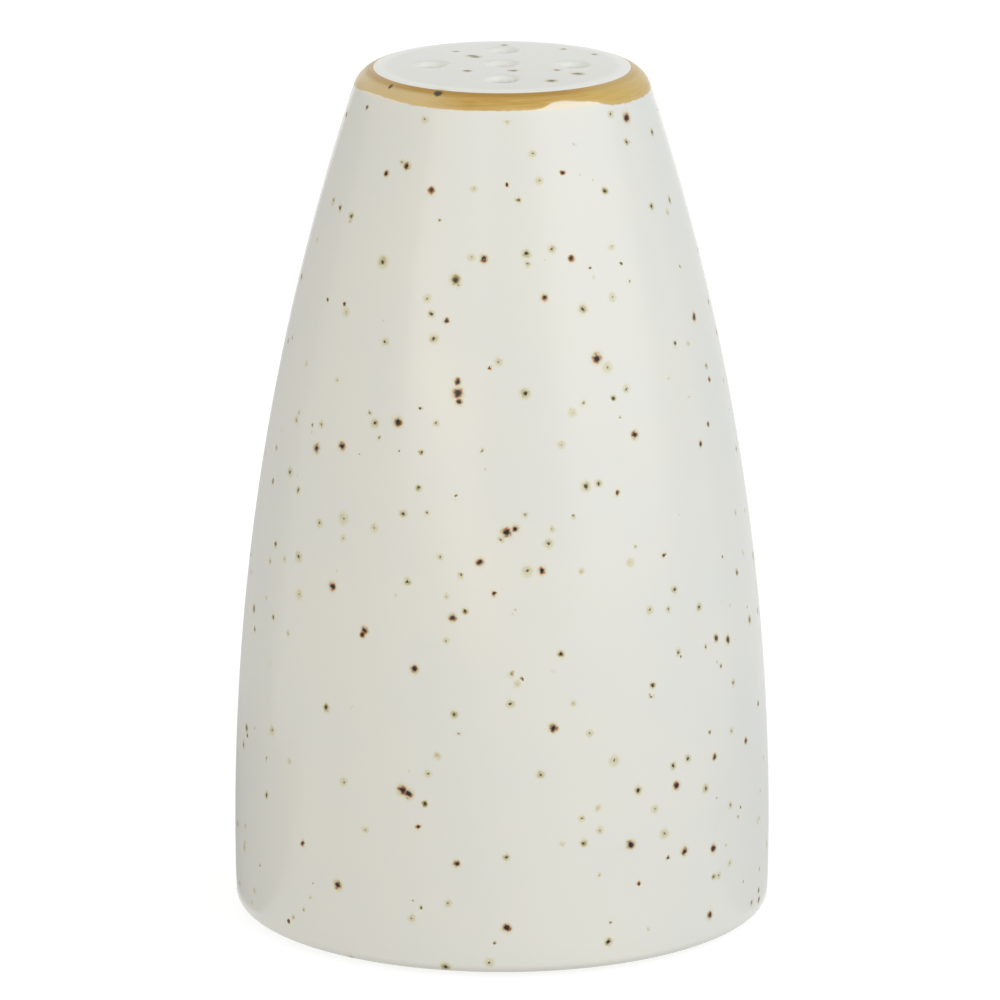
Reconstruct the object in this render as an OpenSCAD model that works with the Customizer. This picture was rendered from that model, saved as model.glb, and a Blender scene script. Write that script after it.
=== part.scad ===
// Table shaker for ground spice: a slip-cast stoneware body in a speckled glaze, with a
// painted amber rim, five pour holes in its top, and a soft stopper pushed into its base.
// Millimetres. +Z is up, and the origin is the middle of the ring that the shaker stands on.

/* [Body] */
// Height of the shaker
body_h = 80; // [72:1:88]
// Width at the widest place
body_w = 50; // [48:0.5:54]
// Height of the widest place above the table
widest_z = 7; // [5:0.5:10]
// Radius of the long curve of the side
side_r = 227; // [210:1:280]
// Radius of the rounded shoulder
shoulder_r = 2.6; // [2.3:0.1:3.5]
// Radius of the slightly domed top
crown_r = 265; // [150:5:500]
// Radius of the rounded bottom edge
edge_r = 0.9; // [0.6:0.1:1.2]

/* [Walls] */
// Thickness of the side wall, with its glaze
wall_t = 3.6; // [3:0.1:4.2]
// Thickness of the top, with its glaze
top_t = 3.6; // [3:0.1:5]
// Thickness of the base plate, with its glaze
base_t = 4.2; // [3.8:0.1:5]
// Thickness of the glaze
glaze_t = 0.35; // [0.2:0.05:0.5]
// Radius of the hollow's corner under the top
ceiling_r = 3; // [1:0.5:4]
// Radius of the hollow's corner over the base plate
floor_r = 4; // [2:0.5:6]

/* [Foot] */
// How far the foot ring stands in from the widest place
foot_inset = 3; // [2.5:0.1:3.5]
// Width of the bare foot ring, up to the glaze inside it
foot_t = 2.4; // [1.8:0.1:3]
// Height of bare clay between the table and the glaze
bare_h = 0.5; // [0.3:0.1:0.8]
// Height of the base plate above the table
recess_h = 3.4; // [3.1:0.1:5]
// Radius of the corner between the foot ring and the base plate
recess_corner_r = 1.2; // [0.5:0.1:1.5]

/* [Pour holes] */
// Holes on the circle around the middle one
ring_count = 4; // [3:1:6]
// Diameter of that circle
ring_d = 13; // [11:0.5:15]
// Diameter of a hole, inside its glaze
pour_d = 2.4; // [1.8:0.1:2.7]
// Diameter of a hole's sloping mouth
mouth_d = 3.1; // [2.9:0.1:4]
// Depth of a hole's sloping mouth
mouth_h = 0.4; // [0.3:0.1:0.8]

/* [Rim band] */
// Width of the painted band, along the rounded shoulder
band_w = 2.6; // [1.5:0.1:2.6]
// Thickness of the painted band
band_t = 0.15; // [0.1:0.05:0.2]

/* [Filling hole and stopper] */
// Diameter of the filling hole, inside its glaze
fill_d = 20; // [18:0.5:22]
// Radius of the rounded edges of the filling hole
lip_r = 0.8; // [0.6:0.1:1]
// Slack between the stopper's ribs and the filling hole
rib_gap = 0.07; // [0.03:0.01:0.1]
// How far each rib stands out of the stopper's barrel
rib_r = 0.55; // [0.4:0.05:0.6]
// Ribs on the barrel
rib_count = 3; // [2:1:3]
// Gap between the stopper's flange and the base plate
seat_gap = 0.05; // [0.02:0.01:0.1]
// Width of the stopper's flange beyond the filling hole
flange_w = 2.4; // [1.5:0.1:3]
// Thickness of the stopper's flange
flange_t = 1.5; // [1:0.1:1.6]
// How far the stopper reaches above the base plate
nose_h = 1.6; // [1.5:0.1:2.5]
// Wall of the stopper's barrel
barrel_t = 1.85; // [1.4:0.05:2.2]
// Thickness of the pinch tab
tab_t = 2.4; // [2:0.1:3]
// Width of the pinch tab
tab_w = 10; // [8:0.5:11]

/* [Hidden] */
$fn = 128;

// How far a cutter reaches past the face that it cuts
past = 1;
// How far inside the rounded corners the edge of the base plate lies
plate_inset = 0.5;
// Chamfer on the foot ring's two edges
foot_chamfer = 0.3;
// How far the pinch tab ends above the flange's underside
tab_lift = 0.4;
// Radius of the pinch tab's two lower corners
tab_corner_r = 2;
// Height of the taper on the stopper's leading end
nose_taper_h = 1.6;
// How far that taper narrows the end, all round
nose_taper_w = 0.8;

// Steps along each arc of the outline
side_steps = 24;
shoulder_steps = 12;
crown_steps = 6;
corner_steps = 8;
lip_steps = 5;

glaze_bottom = bare_h;
base_under = recess_h;
base_over = recess_h + base_t;
ceiling_z = body_h - top_t;
foot_r = body_w / 2 - foot_inset;
recess_r = foot_r - foot_t;
fill_r = fill_d / 2;
pour_r = pour_d / 2;

// Centre of the side's long arc, which lies level with the widest place
side_c = [body_w / 2 - side_r, widest_z];
// Centre of the crown's arc, on the axis
crown_c = [0, body_h - crown_r];

// Upper crossing of two circles, each given as centre and radius
function crossing(a, ra, b, rb) =
    let (
        across = b - a,
        dist = norm(across),
        along = (ra * ra - rb * rb + dist * dist) / (2 * dist),
        off = sqrt(ra * ra - along * along)
    )
    a + along * across / dist + off * [-across[1], across[0]] / dist;

// Centre of the corner of radius r between a flat and the side, with the side set in by d.
// The centre's own height z is r above or below the flat.
function flat_corner(d, r, z) =
    [side_c[0] + sqrt(pow(side_r - d - r, 2) - pow(z - widest_z, 2)), z];

function angle_to(from, to) = atan2(to[1] - from[1], to[0] - from[0]);

function arc(c, r, a0, a1, steps) =
    [for (i = [0:steps]) let (a = a0 + (a1 - a0) * i / steps) c + r * [cos(a), sin(a)]];

function turned_round(points) = [for (i = [len(points) - 1:-1:0]) points[i]];

// The corners' centres serve the glaze's surface and the clay under it alike: a layer that
// lies d deeper has the same centres, and radii that differ by d.
edge_c = flat_corner(0, edge_r, glaze_bottom + edge_r);
shoulder_c = crossing(side_c, side_r - shoulder_r, crown_c, crown_r - shoulder_r);
floor_c = flat_corner(wall_t, floor_r, base_over + floor_r);
ceiling_c = flat_corner(wall_t, ceiling_r, ceiling_z - ceiling_r);

edge_a = angle_to(side_c, edge_c);
side_a = angle_to(side_c, shoulder_c);
crown_a = angle_to(crown_c, shoulder_c);
band_a = side_a + band_w / shoulder_r * 180 / PI;
floor_a = angle_to(side_c, floor_c);
ceiling_a = angle_to(side_c, ceiling_c);
plate_r = min(floor_c[0], recess_r - recess_corner_r) - plate_inset;

// Outline from the bottom edge up to where the band starts, d under the glaze's surface
function lower_line(d) = concat(
    arc(edge_c, edge_r - d, -90, edge_a, corner_steps),
    arc(side_c, side_r - d, edge_a, side_a, side_steps)
);

// The stretch of the shoulder that the band covers
function band_line(d) = arc(shoulder_c, shoulder_r - d, side_a, band_a, shoulder_steps);

// The rest of the shoulder and the crown, up to the axis
function crown_line(d) = concat(
    arc(shoulder_c, shoulder_r - d, band_a, crown_a, lip_steps),
    arc(crown_c, crown_r - d, crown_a, 90, crown_steps)
);

// The hollow, the filling hole and the recess under the base plate, from the axis down to
// the height foot_z inside the foot ring, d under the glaze's surface
function inner_line(d, foot_z) = concat(
    [[0, ceiling_z + d]],
    arc(ceiling_c, ceiling_r + d, 90, ceiling_a, corner_steps),
    arc(side_c, side_r - wall_t + d, ceiling_a, floor_a, side_steps),
    arc(floor_c, floor_r + d, floor_a, -90, corner_steps),
    arc([fill_r + lip_r, base_over - lip_r], lip_r - d, 90, 180, lip_steps),
    arc([fill_r + lip_r, base_under + lip_r], lip_r - d, 180, 270, lip_steps),
    arc(
        [recess_r - recess_corner_r, base_under - recess_corner_r],
        recess_corner_r + d, 90, 0, lip_steps
    ),
    [[recess_r + d, foot_z]]
);

// The foot ring's underside and outer side, up to the clay's bottom edge
function foot_line() = [
    [recess_r + glaze_t + foot_chamfer, 0],
    [foot_r - foot_chamfer, 0],
    [foot_r, foot_chamfer],
    [foot_r, glaze_bottom + glaze_t],
];

// One pour hole on the axis, d wider all round: a bore with a sloping mouth. The slope of
// the wider hole starts lower, which keeps the glaze equally thick on the bore and the slope.
module pour_space(d) {
    slope = (mouth_d / 2 - pour_r) / mouth_h;
    bottom = body_h - mouth_h - d * tan(atan(slope) / 2);
    translate([0, 0, ceiling_z - past])
        cylinder(h = top_t + 2 * past, r = pour_r + d);
    translate([0, 0, bottom])
        cylinder(
            h = body_h + past - bottom,
            r1 = pour_r + d,
            r2 = pour_r + d + slope * (body_h + past - bottom)
        );
}

module all_pour_spaces(d) {
    pour_space(d);
    for (i = [0:ring_count - 1])
        rotate([0, 0, i * 360 / ring_count])
            translate([ring_d / 2, 0, 0])
                pour_space(d);
}

module clay_form() {
    difference() {
        rotate_extrude()
            polygon(concat(
                foot_line(),
                lower_line(glaze_t),
                band_line(glaze_t),
                crown_line(glaze_t),
                inner_line(glaze_t, foot_chamfer)
            ));
        all_pour_spaces(glaze_t);
    }
}

// The room of the base plate, between the hollow's floor and the recess under it
module plate_zone() {
    translate([0, 0, base_under - past])
        cylinder(h = base_t + 2 * past, r = plate_r);
}

module coated_form() {
    difference() {
        rotate_extrude()
            polygon(concat(
                lower_line(0),
                band_line(band_t),
                crown_line(0),
                inner_line(0, glaze_bottom)
            ));
        all_pour_spaces(0);
    }
}

// The fired clay, bare only on the ring that it stands on
module clay_body() {
    color([0.88, 0.83, 0.74])
        difference() {
            clay_form();
            plate_zone();
        }
}

// The disc of clay round the filling hole. It is fired in one with the rest, and is a solid
// of its own here so that a simplified copy of either shape keeps the hole open.
module base_plate() {
    color([0.88, 0.83, 0.74])
        intersection() {
            clay_form();
            plate_zone();
        }
}

// The glaze that covers the clay outside and in, with a shallow groove for the band
module glaze_coat() {
    color([0.87, 0.87, 0.83])
        difference() {
            coated_form();
            clay_form();
        }
}

// The painted band, flush in its groove on the shoulder
module rim_band() {
    color([0.74, 0.59, 0.33])
        rotate_extrude()
            polygon(concat(band_line(0), turned_round(band_line(band_t))));
}

// One moulded piece: a flange that seats under the base plate, a ribbed barrel in the
// filling hole, and a tab inside the barrel to pull it out by
module stopper() {
    rib_out_r = fill_r - rib_gap;
    barrel_r = rib_out_r - rib_r;
    hollow_r = barrel_r - barrel_t;
    flange_top = base_under - seat_gap;
    flange_bottom = flange_top - flange_t;
    flange_r = fill_r + flange_w;
    nose_z = base_over + nose_h;
    roof_z = nose_z - barrel_t;
    rib_pitch = base_t / rib_count;
    tab_bottom = flange_bottom + tab_lift;
    tab_top = roof_z + barrel_t / 2;

    color([0.93, 0.93, 0.91]) {
        rotate_extrude()
            polygon(concat(
                [[0, roof_z], [hollow_r, roof_z], [hollow_r, flange_bottom]],
                arc([flange_r - flange_t / 2, (flange_top + flange_bottom) / 2],
                    flange_t / 2, -90, 90, corner_steps),
                [[barrel_r, flange_top]],
                [for (i = [0:rib_count - 1])
                    each arc([barrel_r, base_under + rib_pitch * (i + 0.5)],
                        rib_r, -90, 90, corner_steps)],
                [
                    [barrel_r, nose_z - nose_taper_h],
                    [barrel_r - nose_taper_w, nose_z],
                    [0, nose_z],
                ]
            ));
        rotate([90, 0, 90])
            linear_extrude(tab_t, center = true)
                polygon(concat(
                    arc([tab_corner_r - tab_w / 2, tab_bottom + tab_corner_r],
                        tab_corner_r, 180, 270, lip_steps),
                    arc([tab_w / 2 - tab_corner_r, tab_bottom + tab_corner_r],
                        tab_corner_r, 270, 360, lip_steps),
                    [[tab_w / 2, tab_top], [-tab_w / 2, tab_top]]
                ));
    }
}

clay_body();
base_plate();
glaze_coat();
rim_band();
stopper();
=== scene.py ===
import math

import bmesh
import bpy
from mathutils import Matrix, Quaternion, Vector


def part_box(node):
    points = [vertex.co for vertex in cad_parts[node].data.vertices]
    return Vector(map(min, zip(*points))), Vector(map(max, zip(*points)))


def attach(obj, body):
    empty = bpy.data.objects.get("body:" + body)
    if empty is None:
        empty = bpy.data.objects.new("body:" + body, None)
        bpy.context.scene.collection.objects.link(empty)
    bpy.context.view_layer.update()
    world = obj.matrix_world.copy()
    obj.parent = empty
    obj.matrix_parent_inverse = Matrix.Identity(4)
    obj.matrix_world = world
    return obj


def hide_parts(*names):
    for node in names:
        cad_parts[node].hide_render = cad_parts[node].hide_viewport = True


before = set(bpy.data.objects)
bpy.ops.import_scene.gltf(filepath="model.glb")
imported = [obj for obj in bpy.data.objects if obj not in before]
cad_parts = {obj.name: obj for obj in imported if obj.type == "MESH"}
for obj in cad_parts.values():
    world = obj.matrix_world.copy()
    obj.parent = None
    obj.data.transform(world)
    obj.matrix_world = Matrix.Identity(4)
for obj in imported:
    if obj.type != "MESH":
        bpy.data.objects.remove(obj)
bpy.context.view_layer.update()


# ---- The fired clay ----
# One slip-cast stoneware body, hollow, with its base plate, foot ring and pour holes all in
# one. Only the ring that it stands on is bare: the glaze was sponged off it before firing.

mm = 0.001


def place(tree, kind, inputs=None, **settings):
    """Adds a node. Each of its inputs takes a plain value or another node's output."""
    node = tree.nodes.new("ShaderNode" + kind)
    for name, value in settings.items():
        setattr(node, name, value)
    for key, value in (inputs or {}).items():
        if isinstance(value, bpy.types.NodeSocket):
            tree.links.new(value, node.inputs[key])
        else:
            node.inputs[key].default_value = value
    return node


def shade(red, green, blue):
    """A colour given in steps of 0 to 255, as a colour socket takes it."""
    def linear(step):
        part = step / 255
        return part / 12.92 if part <= 0.04045 else ((part + 0.055) / 1.055) ** 2.4
    return (linear(red), linear(green), linear(blue), 1.0)


def sums(tree, operation, first, second=0.0, third=0.0, clamp=False):
    """The result of one Math node."""
    node = place(tree, "Math", {0: first, 1: second, 2: third}, operation=operation)
    node.use_clamp = clamp
    return node.outputs[0]


def blend(tree, amount, first, second):
    """A colour between two, at the given amount of the second."""
    node = place(tree, "Mix", {0: amount, 6: first, 7: second}, data_type="RGBA")
    return node.outputs[2]


def fade(tree, value, start, end, low=0.0, high=1.0):
    """Goes smoothly from low to high while the value goes from start to end."""
    inputs = {0: value, 1: start, 2: end, 3: low, 4: high}
    node = place(tree, "MapRange", inputs, interpolation_type="SMOOTHSTEP")
    return node.outputs[0]


def grain(tree, point, size, detail=2.0):
    """Soft noise whose lumps are about the given size across."""
    inputs = {"Vector": point, "Scale": 1 / size, "Detail": detail}
    return place(tree, "TexNoise", inputs).outputs["Fac"]


def empty_material(name):
    """A material with no nodes yet."""
    material = bpy.data.materials.new(name)
    material.use_nodes = True
    material.node_tree.nodes.clear()
    return material


def new_finish(name):
    """A material with its Principled shader in place. Returns the material and the shader."""
    material = empty_material(name)
    shader = place(material.node_tree, "BsdfPrincipled")
    place(material.node_tree, "OutputMaterial", {"Surface": shader.outputs[0]})
    return material, shader


def feed(material, socket, value):
    """Lets a node's output drive one of the shader's sockets."""
    material.node_tree.links.new(value, socket)


sand_size = 0.25 * mm
cloud_size = 4 * mm
pit_size = 0.6 * mm
clay_relief = 0.05 * mm

clay, clay_shader = new_finish("bare_clay")
tree = clay.node_tree
point = place(tree, "TexCoord").outputs["Object"]
sand = grain(tree, point, sand_size, 3.0)
cloud = grain(tree, point, cloud_size)
pits = fade(tree, grain(tree, point, pit_size, 1.0), 0.34, 0.22)
clay_tone = blend(tree, fade(tree, cloud, 0.35, 0.65), shade(225, 210, 184), shade(208, 190, 160))
clay_tone = blend(tree, fade(tree, sand, 0.60, 0.72), clay_tone, shade(176, 150, 114))
clay_tone = blend(tree, pits, clay_tone, shade(140, 116, 86))
feed(clay, clay_shader.inputs["Base Color"], clay_tone)
feed(clay, clay_shader.inputs["Roughness"], fade(tree, sand, 0.3, 0.7, 0.72, 0.9))
clay_height = sums(tree, "MULTIPLY_ADD", pits, -0.6, sand)
clay_bump = place(tree, "Bump", {"Strength": 1.0, "Distance": clay_relief, "Height": clay_height})
feed(clay, clay_shader.inputs["Normal"], clay_bump.outputs[0])

for node in ("clay_body", "base_plate"):
    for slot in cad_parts[node].material_slots:
        slot.material = clay


# ---- The speckled glaze ----
# A white glaze, fired over all of the clay but the foot ring: outside, in the hollow, through
# the pour holes and round the filling hole. Iron in the clay bleeds through it as brown specks.

glaze_low, glaze_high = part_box("glaze_coat")
body_r = glaze_high[0]
glaze_bottom = glaze_low[2]
body_h = 80 * mm
widest_z = 7 * mm
side_r = 227 * mm
shoulder_r = 2.6 * mm
crown_r = 265 * mm
edge_r = 0.9 * mm
wall_t = 3.6 * mm
glaze_t = 0.35 * mm
ceiling_z = 76.4 * mm
ceiling_r = 3 * mm
floor_z = 7.6 * mm
floor_r = 4 * mm
foot_r = 22 * mm
recess_r = 19.6 * mm
recess_z = 3.4 * mm
recess_corner_r = 1.2 * mm
foot_flat_w = 1 * mm
fill_r = 10 * mm
lip_r = 0.8 * mm
turn_steps = 144
hole_steps = 48

# The pour holes: where they stand, the bore, the slope round it, and how soft its edges are
hole_ring_r = 6.5 * mm
pour_r = 1.2 * mm
mouth_r = 1.55 * mm
mouth_h = 0.4 * mm
mouth_slope = math.atan2(mouth_h, mouth_r - pour_r)
mouth_edge_r = 0.55 * mm
throat_edge_r = 0.74 * mm
under_edge_r = 0.25 * mm
least_edge_r = 0.05 * mm
mouth_zone_h = 1.6 * mm

side_c = Vector((body_r - side_r, widest_z))
crown_c = Vector((0, body_h - crown_r))
plate_r = 10.6 * mm
band_depth = 0.15 * mm
band_low_z = 77.5 * mm
band_top_turn = math.radians(75.5)
groove_wall_turn = 0.0004


def crossing(a, ra, b, rb):
    """The upper crossing of two circles."""
    across = b - a
    along = (ra * ra - rb * rb + across.length_squared) / (2 * across.length)
    off = math.sqrt(ra * ra - along * along)
    return a + across.normalized() * along + Vector((-across.y, across.x)).normalized() * off


def corner(depth, radius, z):
    """Centre, at height z, of a rounded corner that touches the side from within."""
    reach = side_r - depth - radius
    return Vector((side_c.x + math.sqrt(reach * reach - (z - side_c.y) ** 2), z))


def turn_to(start, end):
    """The direction from one point to another, in radians up from level."""
    return math.atan2(end.y - start.y, end.x - start.x)


def arc(centre, radius, start, end, steps):
    """Points (radius, height) along an arc, both ends included."""
    points = []
    for i in range(steps + 1):
        turn = start + (end - start) * i / steps
        x = centre.x + radius * math.cos(turn)
        points.append(Vector((x, centre.y + radius * math.sin(turn))))
    return points


quarter = math.pi / 2
edge_c = corner(0, edge_r, glaze_bottom + edge_r)
shoulder_c = crossing(side_c, side_r - shoulder_r, crown_c, crown_r - shoulder_r)
floor_c = corner(wall_t, floor_r, floor_z + floor_r)
ceiling_c = corner(wall_t, ceiling_r, ceiling_z - ceiling_r)
edge_turn = turn_to(side_c, edge_c)
shoulder_turn = turn_to(side_c, shoulder_c)
crown_turn = turn_to(crown_c, shoulder_c)
floor_turn = turn_to(side_c, floor_c)
ceiling_turn = turn_to(side_c, ceiling_c)
band_low_turn = math.asin((band_low_z - side_c.y) / side_r)


def band_line(depth):
    """The stretch of side and shoulder that the painted band takes, upwards."""
    low = arc(side_c, side_r - depth, band_low_turn, shoulder_turn, 2)
    return low + arc(shoulder_c, shoulder_r - depth, shoulder_turn, band_top_turn, 14)[1:]


def outer_line(depth, groove):
    """The glaze from the foot ring up the outside to the edge of the pierced top."""
    plate_turn = math.acos(plate_r / crown_r)
    return (
        [Vector((foot_r + x, glaze_bottom + depth)) for x in (0, foot_flat_w)]
        + arc(edge_c, edge_r - depth, -quarter, edge_turn, 8)
        + arc(side_c, side_r - depth, edge_turn, band_low_turn, 40)[1:-1]
        + arc(side_c, side_r - depth, band_low_turn - groove_wall_turn, band_low_turn, 1)
        + band_line(depth + groove)
        + arc(shoulder_c, shoulder_r - depth, band_top_turn, crown_turn, 4)
        + arc(crown_c, crown_r - depth, crown_turn, plate_turn, 2)[1:]
    )


def inner_line(depth):
    """The glaze from the ceiling down the hollow, through the filling hole to the foot ring."""
    lip_x = fill_r + lip_r
    recess_c = Vector((recess_r - recess_corner_r, recess_z - recess_corner_r))
    return (
        arc(ceiling_c, ceiling_r + depth, quarter, ceiling_turn, 8)
        + arc(side_c, side_r - wall_t + depth, ceiling_turn, floor_turn, 24)[1:]
        + arc(floor_c, floor_r + depth, floor_turn, -quarter, 8)[1:]
        + arc(Vector((lip_x, floor_z - lip_r)), lip_r - depth, quarter, 2 * quarter, 6)
        + arc(Vector((lip_x, recess_z + lip_r)), lip_r - depth, 2 * quarter, 3 * quarter, 6)
        + arc(recess_c, recess_corner_r + depth, quarter, 0, 6)
        + [Vector((recess_r + depth, glaze_bottom))]
    )


def crown_z(x, y, depth):
    """The height of the slightly crowned top, the given depth under it."""
    return crown_c.y + math.sqrt((crown_r - depth) ** 2 - x * x - y * y)


def hole_line(depth):
    """A pour hole from the rim of its dished mouth, down the slope and the bore."""
    top = Vector((mouth_r + mouth_edge_r * math.tan(mouth_slope / 2), 0))
    rim = Vector((top.x, -mouth_edge_r))
    slope_end = top.x - mouth_edge_r * math.sin(mouth_slope)
    throat = Vector((pour_r + throat_edge_r, 0))
    drop = mouth_edge_r * (1 - math.cos(mouth_slope))
    throat_top = throat.x - throat_edge_r * math.sin(mouth_slope)
    throat.y = -drop - (slope_end - throat_top) * math.tan(mouth_slope)
    throat.y -= throat_edge_r * math.cos(mouth_slope)
    under = Vector((pour_r + under_edge_r, ceiling_z - body_h + under_edge_r))
    return (
        arc(rim, mouth_edge_r - depth, quarter, quarter + mouth_slope, 5)
        + arc(throat, throat_edge_r - depth, quarter + mouth_slope, 2 * quarter, 6)
        + arc(under, max(under_edge_r - depth, least_edge_r), 2 * quarter, 3 * quarter, 3)
    )


def add_form(bm, form):
    """Moves a mesh into another one."""
    mesh = bpy.data.meshes.new("form")
    form.to_mesh(mesh)
    form.free()
    bm.from_mesh(mesh)
    bpy.data.meshes.remove(mesh)


def turned(bm, line, steps, x=0.0, y=0.0):
    """Turns a line of (radius, height) points round an upright axis. Returns the new vertices."""
    form = bmesh.new()
    verts = [form.verts.new((x + p.x, y, p.y)) for p in line]
    edges = [form.edges.new(pair) for pair in zip(verts, verts[1:])]
    bmesh.ops.spin(
        form, geom=verts + edges, cent=(x, y, 0), axis=(0, 0, 1), dvec=(0, 0, 0),
        angle=2 * math.pi, steps=steps, use_merge=True, use_duplicate=False,
    )
    made_before = len(bm.verts)
    add_form(bm, form)
    bm.verts.ensure_lookup_table()
    return bm.verts[made_before:]


ring_zone = 1 * mm
plate_edge_max = 1.1 * mm
split_rounds = 4
smooth_rounds = 6


def fill_plate(bm, level, longest, height):
    """Fills the pierced plate between the open rings near a level with small triangles."""
    open_edges = [e for e in bm.edges if e.is_boundary]
    rings = [e for e in open_edges if all(abs(v.co.z - level) < ring_zone for v in e.verts)]
    made = bmesh.ops.triangle_fill(bm, use_beauty=True, use_dissolve=False, edges=rings)["geom"]
    for face in made:
        if isinstance(face, bmesh.types.BMFace):
            face.material_index = 1

    def plate_faces():
        return [f for f in bm.faces if f.material_index == 1]

    def inner_edges():
        edges = {e for f in plate_faces() for e in f.edges}
        return sorted(
            (e for e in edges if all(f.material_index == 1 for f in e.link_faces)),
            key=lambda e: e.index,
        )

    for _ in range(split_rounds):
        bm.edges.index_update()
        long_edges = [e for e in inner_edges() if e.calc_length() > longest]
        if not long_edges:
            break
        bmesh.ops.subdivide_edges(bm, edges=long_edges, cuts=1)
        bmesh.ops.triangulate(bm, faces=plate_faces())
        bm.edges.index_update()
        bmesh.ops.beautify_fill(bm, faces=plate_faces(), edges=inner_edges())
    inside = [
        v for v in bm.verts
        if v.link_faces and all(f.material_index == 1 for f in v.link_faces)
    ]
    for _ in range(smooth_rounds):
        bmesh.ops.smooth_vert(bm, verts=inside, factor=0.5, use_axis_x=True, use_axis_y=True)
    for vert in inside:
        vert.co.z = height(vert.co.x, vert.co.y)
    for face in plate_faces():
        face.material_index = 0


def glaze_skin(bm, depth, groove):
    """One surface of the glaze, the given depth under its outside."""
    turned(bm, outer_line(depth, groove), turn_steps)
    turned(bm, inner_line(depth), turn_steps)
    holes = [(0.0, 0.0)]
    for i in range(4):
        turn = i * quarter
        holes.append((hole_ring_r * math.cos(turn), hole_ring_r * math.sin(turn)))
    for x, y in holes:
        for vert in turned(bm, hole_line(depth), hole_steps, x, y):
            in_mouth = vert.co.z > -mouth_zone_h
            vert.co.z += crown_z(vert.co.x, vert.co.y, 0) if in_mouth else body_h
    fill_plate(bm, body_h, plate_edge_max, lambda x, y: crown_z(x, y, depth))
    fill_plate(bm, ceiling_z, 2 * plate_edge_max, lambda x, y: ceiling_z + depth)


def as_object(bm, name, material):
    """Makes the mesh an object of one material."""
    mesh = bpy.data.meshes.new(name)
    bm.to_mesh(mesh)
    bm.free()
    mesh.materials.append(material)
    made = bpy.data.objects.new(name, mesh)
    bpy.context.scene.collection.objects.link(made)
    return made


merge_gap = 0.001 * mm
crease = math.radians(35)


def finished(bm, name, material, body, node):
    """Makes the mesh a piece, smooth but for its creases, that stands for a CAD node."""
    bmesh.ops.remove_doubles(bm, verts=bm.verts, dist=merge_gap)
    bmesh.ops.recalc_face_normals(bm, faces=bm.faces)
    for face in bm.faces:
        face.smooth = True
    for edge in bm.edges:
        edge.smooth = edge.calc_face_angle(0) < crease
    piece = as_object(bm, name, material)
    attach(piece, body)
    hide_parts(node)


def new_group(name, inputs, outputs):
    """An empty node group with the named sockets, and its two end nodes."""
    group = bpy.data.node_groups.new(name, "ShaderNodeTree")
    for socket, kind in inputs:
        group.interface.new_socket(socket, in_out="INPUT", socket_type="NodeSocket" + kind)
    for socket, kind in outputs:
        group.interface.new_socket(socket, in_out="OUTPUT", socket_type="NodeSocket" + kind)
    return group, group.nodes.new("NodeGroupInput"), group.nodes.new("NodeGroupOutput")


# Specks scattered through the glaze. Each cell of a lattice may hold one ball of iron, and
# the surface cuts some of the balls: a speck is a cut, and Near goes to 1 at its middle.
stain_reach = 2.2
smallest_ball = 0.7
shallowest_cut = 0.35

specks, given, result = new_group(
    "iron_specks",
    [("Point", "Vector"), ("Normal", "Vector"), ("Cell", "Float"), ("Radius", "Float"),
     ("Share", "Float")],
    [("Near", "Float"), ("Chance", "Float")],
)
cells = place(specks, "TexVoronoi", {
    "Vector": given.outputs["Point"],
    "Scale": sums(specks, "DIVIDE", 1.0, given.outputs["Cell"]),
    "Randomness": 1.0,
})
chances = place(specks, "SeparateColor", {0: cells.outputs["Color"]}).outputs
ball = fade(specks, chances[0], 0.0, 1.0, smallest_ball, 1.0)
ball = sums(specks, "MULTIPLY", given.outputs["Radius"], ball)
away = place(specks, "VectorMath", {0: cells.outputs["Position"], 1: given.outputs["Point"]},
             operation="SUBTRACT").outputs[0]
depth = place(specks, "VectorMath", {0: away, 1: given.outputs["Normal"]},
              operation="DOT_PRODUCT").outputs["Value"]
span = place(specks, "VectorMath", {0: away}, operation="LENGTH").outputs["Value"]
depth_share = sums(specks, "POWER", sums(specks, "DIVIDE", depth, ball), 2.0)
cut = sums(specks, "MAXIMUM", sums(specks, "SUBTRACT", 1.0, depth_share), 0.0)
cut = sums(specks, "SQRT", cut)
span_share = sums(specks, "POWER", sums(specks, "DIVIDE", span, ball), 2.0)
across = sums(specks, "SUBTRACT", span_share, depth_share)
across = sums(specks, "SQRT", sums(specks, "MAXIMUM", across, 0.0))
ratio = sums(specks, "DIVIDE", across, sums(specks, "MAXIMUM", cut, 0.01))
there = sums(specks, "LESS_THAN", chances[1], given.outputs["Share"])
there = sums(specks, "MULTIPLY", there, sums(specks, "GREATER_THAN", cut, shallowest_cut))
near = sums(specks, "MULTIPLY_ADD", ratio, -1 / stain_reach, 1.0, clamp=True)
specks.links.new(sums(specks, "MULTIPLY", near, there), result.inputs["Near"])
specks.links.new(chances[2], result.inputs["Chance"])

# The darkest specks of the front, each as (degrees round from the front, height, size)
main_specks = [
    (-21.5, 17.5, 1.15), (-20, 17.2, 1.1), (1, 41.5, 1.15), (26, 56.5, 1.2), (-11.5, 53.8, 1.2),
    (-11, 53, 0.8), (28, 12, 1.1), (42, 10.3, 1), (-5, 38.8, 0.9), (40, 16.7, 1),
    (-9.5, 11, 0.8), (-52, 47, 1.1), (11, 23.6, 1), (30, 17, 0.9), (-37, 7.5, 1.1),
    (-43, 47.8, 1), (-11, 33.7, 0.9), (55, 29.2, 0.9), (-27, 50.8, 1.1), (9, 38, 0.9),
    (-74, 30, 1), (1, 5, 1), (51, 9.7, 1), (-5.5, 65.6, 0.9), (50, 3.4, 1),
    (53.5, 76.7, 1.2), (-28, 79.5, 1.6), (21, 65.4, 0.8), (-24, 71.3, 0.9), (66, 58, 1),
    (-54, 79.4, 1.1),
]

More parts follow.
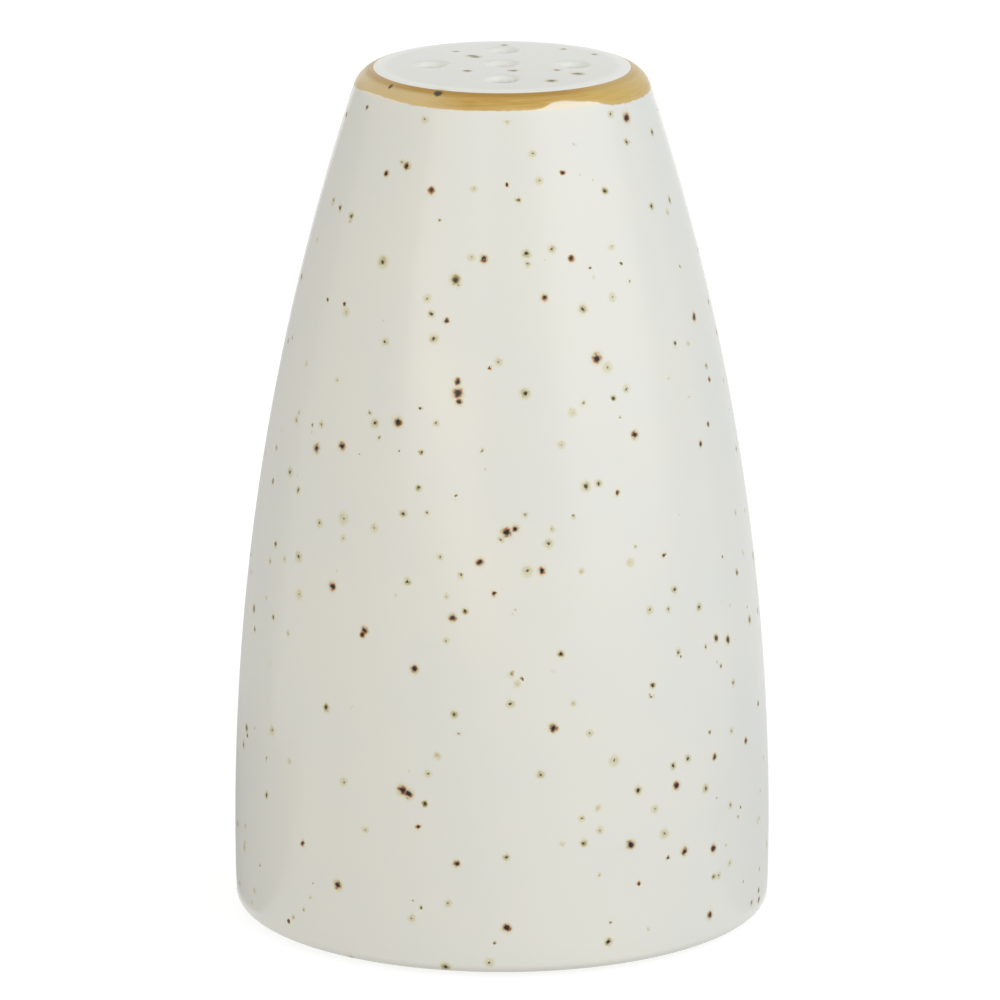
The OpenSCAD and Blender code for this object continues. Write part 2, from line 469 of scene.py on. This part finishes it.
# And those of the pierced top, each as (x, y, size)
top_specks = [
    (-2.8, 3.6, 1.3), (-2.4, 3.1, 1.3), (-3.2, -3.2, 1.1), (1, -3.2, 1.1), (0.9, -6.3, 1),
    (4.5, -7.2, 1.4), (6.9, -4.1, 1.4), (5, -2.7, 0.9), (0.2, 9.1, 1), (-4.3, 5.9, 0.9),
    (5.7, 7.3, 0.9), (8.5, 5, 0.9),
]
top_edge_z = 79.3 * mm
placed_r = 0.35 * mm
far_off = 9.0


def side_radius(z):
    """How far the outside stands from the axis at a height."""
    if z > shoulder_c.y + shoulder_r * math.sin(shoulder_turn):
        return shoulder_c.x + math.sqrt(max(shoulder_r ** 2 - (z - shoulder_c.y) ** 2, 0))
    return side_c.x + math.sqrt(side_r ** 2 - (z - side_c.y) ** 2)


# The front's specks come again on the back, turned half round, and the top's come once
placed, given, result = new_group("placed_specks", [("Point", "Vector")], [("Near", "Float")])
parts = place(placed, "SeparateXYZ", {0: given.outputs["Point"]}).outputs
on_top = sums(placed, "GREATER_THAN", parts[2], top_edge_z)
way = sums(placed, "MULTIPLY", sums(placed, "SIGN", parts[1]), -1.0)
way = sums(placed, "MAXIMUM", way, sums(placed, "MULTIPLY_ADD", on_top, 2.0, -1.0))
front = place(placed, "CombineXYZ", {
    0: sums(placed, "MULTIPLY", parts[0], way),
    1: sums(placed, "MULTIPLY", parts[1], way),
    2: parts[2],
}).outputs[0]
spots = []
for azimuth, height, size in main_specks:
    r = side_radius(height * mm)
    turn = math.radians(azimuth)
    spots.append(((r * math.sin(turn), -r * math.cos(turn), height * mm), size))
for x, y, size in top_specks:
    spots.append(((x * mm, y * mm, crown_z(x * mm, y * mm, 0)), size))
nearest = far_off
for spot, size in spots:
    gap = place(placed, "VectorMath", {0: front, 1: spot}, operation="DISTANCE").outputs["Value"]
    ratio = sums(placed, "MULTIPLY", gap, 1 / (size * placed_r))
    nearest = sums(placed, "MINIMUM", ratio, nearest)
near = sums(placed, "MULTIPLY_ADD", nearest, -1 / stain_reach, 1.0, clamp=True)
placed.links.new(near, result.inputs["Near"])

# The white glaze itself. Its specks are the placed ones and three scattered layers, each given as
# (size of its cells in mm, radius of its balls in mm, share of the cells that hold one)
speck_layers = ((3.5, 0.42, 0.36), (2.6, 0.36, 0.6), (2.0, 0.29, 0.45))
ragged_size = 0.45 * mm
ragged_shift = 0.35 * mm
scattered_to = 77.6 * mm
plate_from = 79.62 * mm
# How far round each pour hole's axis the painted highlight reaches
hole_highlight_r = mouth_r + 0.1 * mm
# Where the painted highlight ring on the top, inside the band, starts and ends
rim_highlight_inner_r = 10.2 * mm
rim_highlight_outer_r = 11.2 * mm
tone_size = 9 * mm
varied_size = 3 * mm
patch_size = 0.5 * mm
swell_size = 8 * mm
swell_height = 0.012 * mm
peel_size = 1.4 * mm
peel_height = 0.0016 * mm
speck_sink = 0.004 * mm


def from_axis(tree, parts):
    """How far a point stands from the shaker's axis."""
    squares = [sums(tree, "POWER", parts[i], 2.0) for i in (0, 1)]
    return sums(tree, "SQRT", sums(tree, "ADD", *squares))


white_glaze, given, result = new_group(
    "white_glaze",
    [("Point", "Vector"), ("Normal", "Vector")],
    [("Color", "Color"), ("Specks", "Float"), ("Height", "Float")],
)
point = given.outputs["Point"]
ragged = place(white_glaze, "TexNoise", {"Vector": point, "Scale": 1 / ragged_size, "Detail": 2.0})
shift = place(white_glaze, "VectorMath", {0: ragged.outputs["Color"], 1: (0.5, 0.5, 0.5)},
              operation="SUBTRACT")
shift = place(white_glaze, "VectorMath", {0: shift.outputs[0], "Scale": ragged_shift},
              operation="SCALE")
loose = place(white_glaze, "VectorMath", {0: point, 1: shift.outputs[0]}).outputs[0]
near, chance = 0.0, 0.0
for cell, radius, share in speck_layers:
    layer = white_glaze.nodes.new("ShaderNodeGroup")
    layer.node_tree = specks
    white_glaze.links.new(loose, layer.inputs["Point"])
    white_glaze.links.new(given.outputs["Normal"], layer.inputs["Normal"])
    layer.inputs["Cell"].default_value = cell * mm
    layer.inputs["Radius"].default_value = radius * mm
    layer.inputs["Share"].default_value = share
    nearer = sums(white_glaze, "GREATER_THAN", layer.outputs["Near"], near)
    mixed = place(white_glaze, "Mix", {0: nearer, 2: chance, 3: layer.outputs["Chance"]})
    chance = mixed.outputs[0]
    near = sums(white_glaze, "MAXIMUM", layer.outputs["Near"], near)

# The painted edge and the top have only the specks that are placed there
parts = place(white_glaze, "SeparateXYZ", {0: point}).outputs
near = sums(white_glaze, "MULTIPLY", near, sums(white_glaze, "LESS_THAN", parts[2], scattered_to))
layer = white_glaze.nodes.new("ShaderNodeGroup")
layer.node_tree = placed
white_glaze.links.new(loose, layer.inputs["Point"])
nearer = sums(white_glaze, "GREATER_THAN", layer.outputs["Near"], near)
varied = fade(white_glaze, grain(white_glaze, point, varied_size), 0.45, 0.65, 0.0, 0.15)
on_plate = sums(white_glaze, "GREATER_THAN", parts[2], plate_from)
varied = sums(white_glaze, "MAXIMUM", varied, sums(white_glaze, "MULTIPLY", on_plate, 0.2))
chance = place(white_glaze, "Mix", {0: nearer, 2: chance, 3: varied}).outputs[0]
near = sums(white_glaze, "MAXIMUM", layer.outputs["Near"], near)

# The white is painted paler in two places, as painted highlights: in the pour holes' mouths, and
# in a ring on the top just inside the band
cloud = grain(white_glaze, point, tone_size)
milk = blend(white_glaze, fade(white_glaze, cloud, 0.35, 0.65),
             shade(223, 224, 215), shade(225, 225, 214))
sides = [sums(white_glaze, "ABSOLUTE", parts[i]) for i in (0, 1)]
folded = place(white_glaze, "CombineXYZ", {
    0: sums(white_glaze, "MAXIMUM", *sides),
    1: sums(white_glaze, "MINIMUM", *sides),
}).outputs[0]
off_hole = place(white_glaze, "VectorMath", {0: folded, 1: (hole_ring_r, 0, 0)},
                 operation="DISTANCE").outputs["Value"]
off_middle = from_axis(white_glaze, parts)
off_hole = sums(white_glaze, "MINIMUM", off_hole, off_middle)
above_side = sums(white_glaze, "GREATER_THAN", parts[2], scattered_to)
# Painted highlight: the pour holes' mouths and far walls are made paler, standing in for the light
# that falls on them
hole_highlight = sums(white_glaze, "MULTIPLY", fade(white_glaze, off_hole, hole_highlight_r, pour_r), above_side)
milk = blend(white_glaze, hole_highlight, milk, shade(238, 239, 231))
# Painted highlight: a paler ring on the top just inside the band, where the shoulder starts to
# curve toward the light
rim_highlight = fade(white_glaze, off_middle, rim_highlight_inner_r, rim_highlight_outer_r)
rim_highlight = sums(white_glaze, "MULTIPLY", rim_highlight, on_plate)
milk = blend(white_glaze, rim_highlight, milk, shade(235, 236, 226))

# A speck is a dark core in an olive or rusty ring, with a pale stain round it
ramp = place(white_glaze, "ValToRGB", {0: chance})
core_tones = ramp.color_ramp.elements
core_tones[0].position = 0.0
core_tones[0].color = shade(18, 4, 0)
core_tones[1].position = 1.0
core_tones[1].color = shade(186, 128, 48)
core_tones.new(0.15).color = shade(34, 20, 0)
core_tones.new(0.4).color = shade(58, 48, 10)
core_tones.new(0.7).color = shade(92, 88, 48)
core_tones.new(0.92).color = shade(122, 116, 72)
core = fade(white_glaze, near, sums(white_glaze, "MULTIPLY_ADD", chance, 0.29, 0.55),
            sums(white_glaze, "MULTIPLY_ADD", chance, 0.2, 0.8))
stain = sums(white_glaze, "MULTIPLY", fade(white_glaze, near, 0.0, 0.5), 0.45)
patchy = fade(white_glaze, grain(white_glaze, point, patch_size), 0.42, 0.58, 0.35, 0.95)
ring = sums(white_glaze, "MULTIPLY", fade(white_glaze, near, 0.34, 0.62), patchy)
ring = sums(white_glaze, "MULTIPLY", ring, fade(white_glaze, chance, 0.1, 0.7, 1.0, 0.25))
rust = blend(white_glaze, fade(white_glaze, chance, 0.08, 0.2),
             shade(164, 98, 30), shade(158, 140, 76))
glaze_tone = blend(white_glaze, stain, milk, shade(210, 202, 146))
glaze_tone = blend(white_glaze, ring, glaze_tone, rust)
glaze_tone = blend(white_glaze, core, glaze_tone, ramp.outputs[0])
swell = grain(white_glaze, point, swell_size, 1.0)
swell = sums(white_glaze, "MULTIPLY", swell, swell_height)
peel = grain(white_glaze, point, peel_size, 1.0)
peel = sums(white_glaze, "MULTIPLY", peel, peel_height)
glaze_height = sums(white_glaze, "ADD", swell, peel)
glaze_height = sums(white_glaze, "MULTIPLY_ADD", core, -speck_sink, glaze_height)
white_glaze.links.new(glaze_tone, result.inputs["Color"])
white_glaze.links.new(core, result.inputs["Specks"])
white_glaze.links.new(glaze_height, result.inputs["Height"])


def glazed(tree, coordinates):
    """Puts the white glaze into a material's tree, at the given texture coordinates."""
    group = tree.nodes.new("ShaderNodeGroup")
    group.node_tree = white_glaze
    tree.links.new(coordinates["Object"], group.inputs["Point"])
    tree.links.new(coordinates["Normal"], group.inputs["Normal"])
    return group


glaze_ior = 1.4

glaze, glaze_shader = new_finish("speckled_glaze")
tree = glaze.node_tree
coat = glazed(tree, place(tree, "TexCoord").outputs)
gloss = fade(tree, coat.outputs["Specks"], 0.0, 1.0, 0.2, 0.3)
relief = coat.outputs["Height"]
glaze_bump = place(tree, "Bump", {"Strength": 1.0, "Distance": 1.0, "Height": relief})
feed(glaze, glaze_shader.inputs["Base Color"], coat.outputs["Color"])
feed(glaze, glaze_shader.inputs["Roughness"], gloss)
feed(glaze, glaze_shader.inputs["Normal"], glaze_bump.outputs[0])
glaze_shader.inputs["IOR"].default_value = glaze_ior

bm = bmesh.new()
glaze_skin(bm, 0, band_depth)
glaze_skin(bm, glaze_t, 0)
turned(bm, [outer_line(0, 0)[0], outer_line(glaze_t, 0)[0]], turn_steps)
turned(bm, [inner_line(0)[-1], inner_line(glaze_t)[-1]], turn_steps)
finished(bm, "glaze_shell", glaze, "shaker", "glaze_coat")


# ---- The painted rim band ----
# An amber stain, laid on the shoulder with one turn of a loaded brush while the shaker spun
# on a wheel, and fired in the glaze. Its upper edge is true, and its lower edge wanders.

band_lower_edge = [
    (-180, 27), (-150, 22), (-125, 26), (-100, 20), (-77, 25), (-60, 32), (-47, 30), (-36, 27),
    (0, 28), (12, 29), (18, 36), (24, 43), (31, 39), (38, 34), (44, 24), (52, 18), (82, 15),
    (105, 22), (130, 31), (155, 24), (180, 27),
]

bristle_size = 0.7 * mm
bristle_wander = 5.0
wash_edge = 26.0
streaks_round = 1.9
streaks_up = 0.11
streak_size = 1 / 3
paint_thickness = 0.02 * mm
streak_height = 0.006 * mm

band, band_shader = new_finish("amber_band")
tree = band.node_tree
coordinates = place(tree, "TexCoord").outputs
coat = glazed(tree, coordinates)
point = coordinates["Object"]
parts = place(tree, "SeparateXYZ", {0: point}).outputs
azimuth = sums(tree, "ARCTAN2", parts[0], sums(tree, "MULTIPLY", parts[1], -1.0))
round_share = sums(tree, "MULTIPLY_ADD", azimuth, 0.5 / math.pi, 0.5)
out = from_axis(tree, parts)
rise = sums(tree, "ARCTAN2", sums(tree, "SUBTRACT", parts[2], shoulder_c.y),
            sums(tree, "SUBTRACT", out, shoulder_c.x))
rise = sums(tree, "MULTIPLY", rise, 180 / math.pi)
edge_curve = place(tree, "FloatCurve", {1: round_share})
curve = edge_curve.mapping.curves[0]
edge_spots = [((degrees + 180) / 360, turn / 90) for degrees, turn in band_lower_edge]
curve.points[0].location = edge_spots[0]
curve.points[1].location = edge_spots[-1]
for spot in edge_spots[1:-1]:
    curve.points.new(*spot)
edge_curve.mapping.update()
edge = sums(tree, "MULTIPLY", edge_curve.outputs[0], 90.0)
bristle = sums(tree, "SUBTRACT", grain(tree, point, bristle_size), 0.5)
edge = sums(tree, "MULTIPLY_ADD", bristle, bristle_wander, edge)
above = sums(tree, "SUBTRACT", rise, edge)
paint = fade(tree, above, -1.2, 2.2)
wash = fade(tree, sums(tree, "SUBTRACT", rise, wash_edge), -2.0, 3.0)
to_right = sums(tree, "DIVIDE", parts[0], out)
to_back = sums(tree, "DIVIDE", parts[1], out)
stretched = place(tree, "CombineXYZ", {
    0: sums(tree, "MULTIPLY", to_right, streaks_round),
    1: sums(tree, "MULTIPLY", to_back, streaks_round),
    2: sums(tree, "MULTIPLY", rise, streaks_up),
}).outputs[0]
streak = grain(tree, stretched, streak_size, 3.0)
amber = blend(tree, fade(tree, streak, 0.35, 0.65), shade(199, 165, 90), shade(186, 150, 72))
upper = fade(tree, to_right, -0.9, -0.6, 0.45, 0.85)
upper = sums(tree, "MULTIPLY", fade(tree, rise, 54.0, 66.0), upper)
amber = blend(tree, upper, amber, shade(170, 127, 32))
thin_left = sums(tree, "MULTIPLY", fade(tree, to_right, -0.2, -0.64), 0.85)
thin_left = sums(tree, "MULTIPLY", thin_left, fade(tree, rise, 64.0, 50.0))
amber = blend(tree, thin_left, amber, shade(213, 191, 138))
thin_right = sums(tree, "MULTIPLY", fade(tree, to_right, 0.39, 0.78), 0.5)
amber = blend(tree, thin_right, amber, shade(203, 176, 98))
amber = blend(tree, fade(tree, above, 12.0, 0.0, 0.0, 0.35), amber, shade(214, 186, 128))
speck = sums(tree, "MULTIPLY", coat.outputs["Specks"], 0.95)
amber = blend(tree, speck, amber, shade(48, 30, 6))
wash = sums(tree, "MULTIPLY", wash, 0.55)
under = blend(tree, wash, coat.outputs["Color"], shade(244, 226, 190))
lift = sums(tree, "MULTIPLY_ADD", paint, paint_thickness, coat.outputs["Height"])
lift = sums(tree, "MULTIPLY_ADD", streak, streak_height, lift)
band_bump = place(tree, "Bump", {"Strength": 1.0, "Distance": 1.0, "Height": lift})
feed(band, band_shader.inputs["Base Color"], blend(tree, paint, under, amber))
feed(band, band_shader.inputs["Roughness"], fade(tree, paint, 0.0, 1.0, 0.2, 0.25))
feed(band, band_shader.inputs["Normal"], band_bump.outputs[0])
band_shader.inputs["IOR"].default_value = glaze_ior

bm = bmesh.new()
line = band_line(0) + band_line(band_depth)[::-1]
turned(bm, line + line[:1], turn_steps)
finished(bm, "painted_band", band, "shaker", "rim_band")


# ---- The stopper ----
# A soft silicone plug in one moulding: a flange that seats under the base plate, a ribbed
# barrel that grips the filling hole, and a ridged tab inside the barrel to pull it out by.

stopper_low, stopper_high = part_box("stopper")
flange_r = stopper_high[0]
flange_bottom = stopper_low[2]
flange_t = 1.5 * mm
nose_z = stopper_high[2]
barrel_r = 9.38 * mm
barrel_t = 1.85 * mm
rib_r = 0.55 * mm
rib_pitch = 1.4 * mm
rib_count = 3
roof_edge_r = 0.6 * mm
mouth_lip_r = 0.3 * mm
flange_root = 0.3 * mm
seat_gap = 0.05 * mm
taper_h = 1.6 * mm
taper_w = 0.8 * mm
nose_edge_r = 0.5 * mm
nose_edge_inset = 0.3 * mm
taper_turn = math.radians(27)

hollow_r = barrel_r - barrel_t
roof_z = nose_z - barrel_t
flange_top = flange_bottom + flange_t
flange_edge_r = flange_t / 2
roof_edge_c = Vector((hollow_r - roof_edge_r, roof_z - roof_edge_r))
mouth_lip_c = Vector((hollow_r + mouth_lip_r, flange_bottom + mouth_lip_r))
flange_edge_c = Vector((flange_r - flange_edge_r, flange_bottom + flange_edge_r))
nose_edge_c = Vector((barrel_r - taper_w - nose_edge_inset, nose_z - nose_edge_r))

stopper_line = (
    [Vector((0, roof_z))]
    + arc(roof_edge_c, roof_edge_r, quarter, 0, 6)
    + arc(mouth_lip_c, mouth_lip_r, 2 * quarter, 3 * quarter, 4)
    + arc(flange_edge_c, flange_edge_r, -quarter, quarter, 12)
    + [Vector((barrel_r + flange_root, flange_top)), Vector((barrel_r, flange_top + seat_gap))]
)
for i in range(rib_count):
    rib_z = recess_z + rib_pitch * (i + 0.5)
    stopper_line += arc(Vector((barrel_r, rib_z)), rib_r, -quarter, quarter, 8)
stopper_line += [Vector((barrel_r, nose_z - taper_h))]
stopper_line += arc(nose_edge_c, nose_edge_r, taper_turn, quarter, 5)
stopper_line += [Vector((0, nose_z))]

mould_size = 0.5 * mm
haze_size = 5 * mm
dust_size = 1.2 * mm
mould_relief = 0.01 * mm
see_into = 1.5 * mm

silicone, silicone_shader = new_finish("soft_silicone")
tree = silicone.node_tree
point = place(tree, "TexCoord").outputs["Object"]
mould = grain(tree, point, mould_size)
haze = fade(tree, grain(tree, point, haze_size), 0.35, 0.65)
dust = fade(tree, grain(tree, point, dust_size, 4.0), 0.58, 0.72)
dust = sums(tree, "MULTIPLY", dust, 0.35)
silicone_tone = blend(tree, haze, shade(232, 233, 228), shade(224, 225, 219))
silicone_tone = blend(tree, dust, silicone_tone, shade(206, 198, 180))
feed(silicone, silicone_shader.inputs["Base Color"], silicone_tone)
feed(silicone, silicone_shader.inputs["Roughness"], fade(tree, mould, 0.3, 0.7, 0.42, 0.55))
silicone_shader.inputs["Subsurface Weight"].default_value = 0.25
silicone_shader.inputs["Subsurface Scale"].default_value = see_into
silicone_bump = place(tree, "Bump", {"Strength": 1.0, "Distance": mould_relief, "Height": mould})
feed(silicone, silicone_shader.inputs["Normal"], silicone_bump.outputs[0])

# The pull tab stands inside the barrel, with three raised grips on each of its flat sides
tab_t = 2.4 * mm
tab_w = 10 * mm
tab_lift = 0.4 * mm
tab_bottom = flange_bottom + tab_lift
tab_top = roof_z + barrel_t / 2
tab_corner_r = 2 * mm
tab_edge_r = 0.35 * mm
grip_half = 0.32 * mm
grip_reach = 3.6 * mm
grip_lift = 0.22 * mm
grip_slope = 0.14 * mm
grip_heights = (3.3 * mm, 4.5 * mm, 5.7 * mm)

tab = bmesh.new()
bmesh.ops.create_cube(tab, size=1.0)
bmesh.ops.scale(tab, vec=(tab_t, tab_w, tab_top - tab_bottom), verts=tab.verts)
bmesh.ops.translate(tab, vec=(0, 0, (tab_top + tab_bottom) / 2), verts=tab.verts)


def level(edge, axis, *values):
    """Whether both ends of an edge stand at one of the values on an axis."""
    return any(all(abs(v.co[axis] - value) < merge_gap for v in edge.verts) for value in values)


lower = [e for e in tab.edges if level(e, 2, tab_bottom)]
lower_ends = [e for e in lower if level(e, 1, tab_w / 2, -tab_w / 2)]
bmesh.ops.bevel(tab, geom=lower_ends, offset=tab_corner_r, segments=8, profile=0.5,
                affect="EDGES", material=-1)
rims = [e for e in tab.edges if level(e, 0, tab_t / 2, -tab_t / 2) and not level(e, 2, tab_top)]
bmesh.ops.bevel(tab, geom=rims, offset=tab_edge_r, segments=4, profile=0.5,
                affect="EDGES", material=-1)
across, up = Vector((0, 1, 0)), Vector((0, 0, 1))
cuts = [(across, -grip_reach), (across, grip_reach)]
for z in grip_heights:
    cuts += [(up, z - grip_half), (up, z + grip_half)]
for normal, cut_at in cuts:
    bmesh.ops.bisect_plane(tab, geom=tab.verts[:] + tab.edges[:] + tab.faces[:],
                           plane_co=normal * cut_at, plane_no=normal)
grips = []
for face in tab.faces:
    middle = face.calc_center_median()
    on_side = abs(face.normal.x) > 0.99 and abs(middle.y) < grip_reach
    if on_side and any(abs(middle.z - z) < grip_half / 2 for z in grip_heights):
        grips.append(face)
bmesh.ops.inset_region(tab, faces=grips, thickness=grip_slope, depth=grip_lift,
                       use_even_offset=True)

stopper_steps = 96
bm = bmesh.new()
turned(bm, stopper_line, stopper_steps)
add_form(bm, tab)
finished(bm, "stopper_plug", silicone, "stopper", "stopper")


# ---- The table and the light ----
# A plain white table in a white room. A large cool lamp to the right of the front is the main
# light, a smaller one fills in from the left, with a low warm strip beside it, and two weak
# panels light the far left and the back. Two grey cards darken what the edges reflect.

room_light = 0.53

room = bpy.data.worlds.new("white_room")
room.use_nodes = True
tree = room.node_tree
tree.nodes.clear()
ray = place(tree, "LightPath").outputs
seen = sums(tree, "MAXIMUM", ray["Is Camera Ray"], ray["Is Transmission Ray"])
seen = sums(tree, "MAXIMUM", seen, ray["Is Glossy Ray"])
strength = sums(tree, "MULTIPLY_ADD", seen, 1.0 - room_light, room_light)
backdrop = place(tree, "Background", {"Color": (1.0, 1.0, 1.0, 1.0), "Strength": strength})
place(tree, "OutputWorld", {"Surface": backdrop.outputs[0]})
bpy.context.scene.world = room

table_light = 0.74
table_tone = 0.4
table_half = 3.0

table = empty_material("white_table")
tree = table.node_tree
own_light = place(tree, "Emission", {"Color": (1.0, 1.0, 1.0, 1.0), "Strength": table_light})
paper = place(tree, "BsdfDiffuse", {"Color": (table_tone, table_tone, table_tone, 1.0)})
lit = place(tree, "AddShader", {0: own_light.outputs[0], 1: paper.outputs[0]})
clear = place(tree, "BsdfTransparent")
under_side = place(tree, "NewGeometry").outputs["Backfacing"]
surface = place(tree, "MixShader", {0: under_side, 1: lit.outputs[0], 2: clear.outputs[0]})
place(tree, "OutputMaterial", {"Surface": surface.outputs[0]})

bm = bmesh.new()
bmesh.ops.create_grid(bm, x_segments=1, y_segments=1, size=table_half)
table_top = as_object(bm, "table_top", table)
table_top.visible_diffuse = False
table_top.visible_shadow = False

# A grey card stands close behind the shaker on each side, with a flap that lies on the table.
# The cards show in its gloss alone, so that a white glaze's edges don't fade into a white room.
card_w = 75 * mm
card_h = 85 * mm
card_inner_x = 26 * mm
card_y = 30 * mm
flap_front_y = -8 * mm
flap_z = 0.2 * mm
card_fade_h = 16 * mm

for name, side, low_light, high_light in (
    ("left_card", -1, 0.4, 0.6),
    ("right_card", 1, 0.72, 0.86),
):
    grey = empty_material(name)
    tree = grey.node_tree
    parts = place(tree, "SeparateXYZ", {0: place(tree, "TexCoord").outputs["Object"]}).outputs
    light = fade(tree, parts[2], 0.0, card_fade_h, low_light, high_light)
    glow = place(tree, "Emission", {"Color": (1.0, 1.0, 1.0, 1.0), "Strength": light})
    place(tree, "OutputMaterial", {"Surface": glow.outputs[0]})
    bm = bmesh.new()
    inner = bm.verts.new((side * card_inner_x, flap_front_y, flap_z))
    outer = bm.verts.new((side * (card_inner_x + card_w), flap_front_y, flap_z))
    fold = bm.edges.new((inner, outer))
    for step in ((0, card_y - flap_front_y, 0), (0, 0, card_h)):
        made = bmesh.ops.extrude_edge_only(bm, edges=[fold])["geom"]
        moved = [part for part in made if isinstance(part, bmesh.types.BMVert)]
        fold = bm.edges.get(moved)
        bmesh.ops.translate(bm, vec=step, verts=moved)
    card = as_object(bm, name, grey)
    card.visible_camera = False
    card.visible_diffuse = False
    card.visible_transmission = False
    card.visible_shadow = False


def lamp(name, azimuth, elevation, distance, width, height, watts, tone, roll=0.0):
    """A rectangular lamp that faces the shaker, placed by degrees round from the front."""
    light = bpy.data.lights.new(name, "AREA")
    light.shape = "RECTANGLE"
    light.size = width
    light.size_y = height
    light.energy = watts
    light.color = tone
    lamp_object = bpy.data.objects.new(name, light)
    turn, lift = math.radians(azimuth), math.radians(elevation)
    level_part = math.cos(lift)
    away = Vector((math.sin(turn) * level_part, -math.cos(turn) * level_part, math.sin(lift)))
    lamp_object.location = Vector((0, 0, body_h / 2)) + away * distance
    facing = away.to_track_quat("Z", "Y") @ Quaternion((0, 0, 1), math.radians(roll))
    lamp_object.rotation_euler = facing.to_euler()
    lamp_object.visible_camera = False
    bpy.context.scene.collection.objects.link(lamp_object)
    return lamp_object


# The key lamp's mirror image is dimmer than its light, so that the flat top doesn't blow out
soft_key = lamp("soft_key", 58, 25, 1.0, 1.1, 1.0, 5.9, (0.89, 0.91, 1.0))
soft_key.visible_glossy = False
key_shine = lamp("key_shine", 58, 25, 0.96, 1.06, 0.96, 2.6, (0.89, 0.91, 1.0))
key_shine.visible_diffuse = False
lamp("soft_fill", -30, 25, 1.0, 0.8, 0.8, 2.25, (1.0, 0.98, 0.98))
left_panel = lamp("left_panel", -90, 0, 1.0, 0.3, 0.9, 0.65, (1.0, 1.0, 1.0))
left_panel.visible_glossy = False
back_panel = lamp("back_panel", 180, 0, 1.0, 1.0, 0.9, 4.0, (1.0, 1.0, 1.0))
back_panel.visible_glossy = False
lamp("warm_strip", -25, 6, 1.0, 1.1, 0.15, 0.9, (1.0, 0.77, 0.5), -20)


# ---- The camera ----
# A long lens, three quarters of a metre in front of the shaker and higher than its top, that
# looks down at its middle by about fifteen degrees.

eye_distance = 765.9 * mm
eye_lift = math.radians(14.586)
orbit_z = 40 * mm
aim = Vector((-0.19 * mm, 0, 38.67 * mm))

lens = bpy.data.cameras.new("camera")
lens.sensor_width = 36.0
lens.lens = 297.15
lens.clip_start = 0.01
camera = bpy.data.objects.new("camera", lens)
eye_y = -eye_distance * math.cos(eye_lift)
eye_z = orbit_z + eye_distance * math.sin(eye_lift)
camera.location = (aim.x, eye_y, eye_z)
camera.rotation_euler = (camera.location - aim).to_track_quat("Z", "Y").to_euler()
bpy.context.scene.collection.objects.link(camera)
bpy.context.scene.camera = camera
bpy.context.scene.view_settings.view_transform = "Standard"
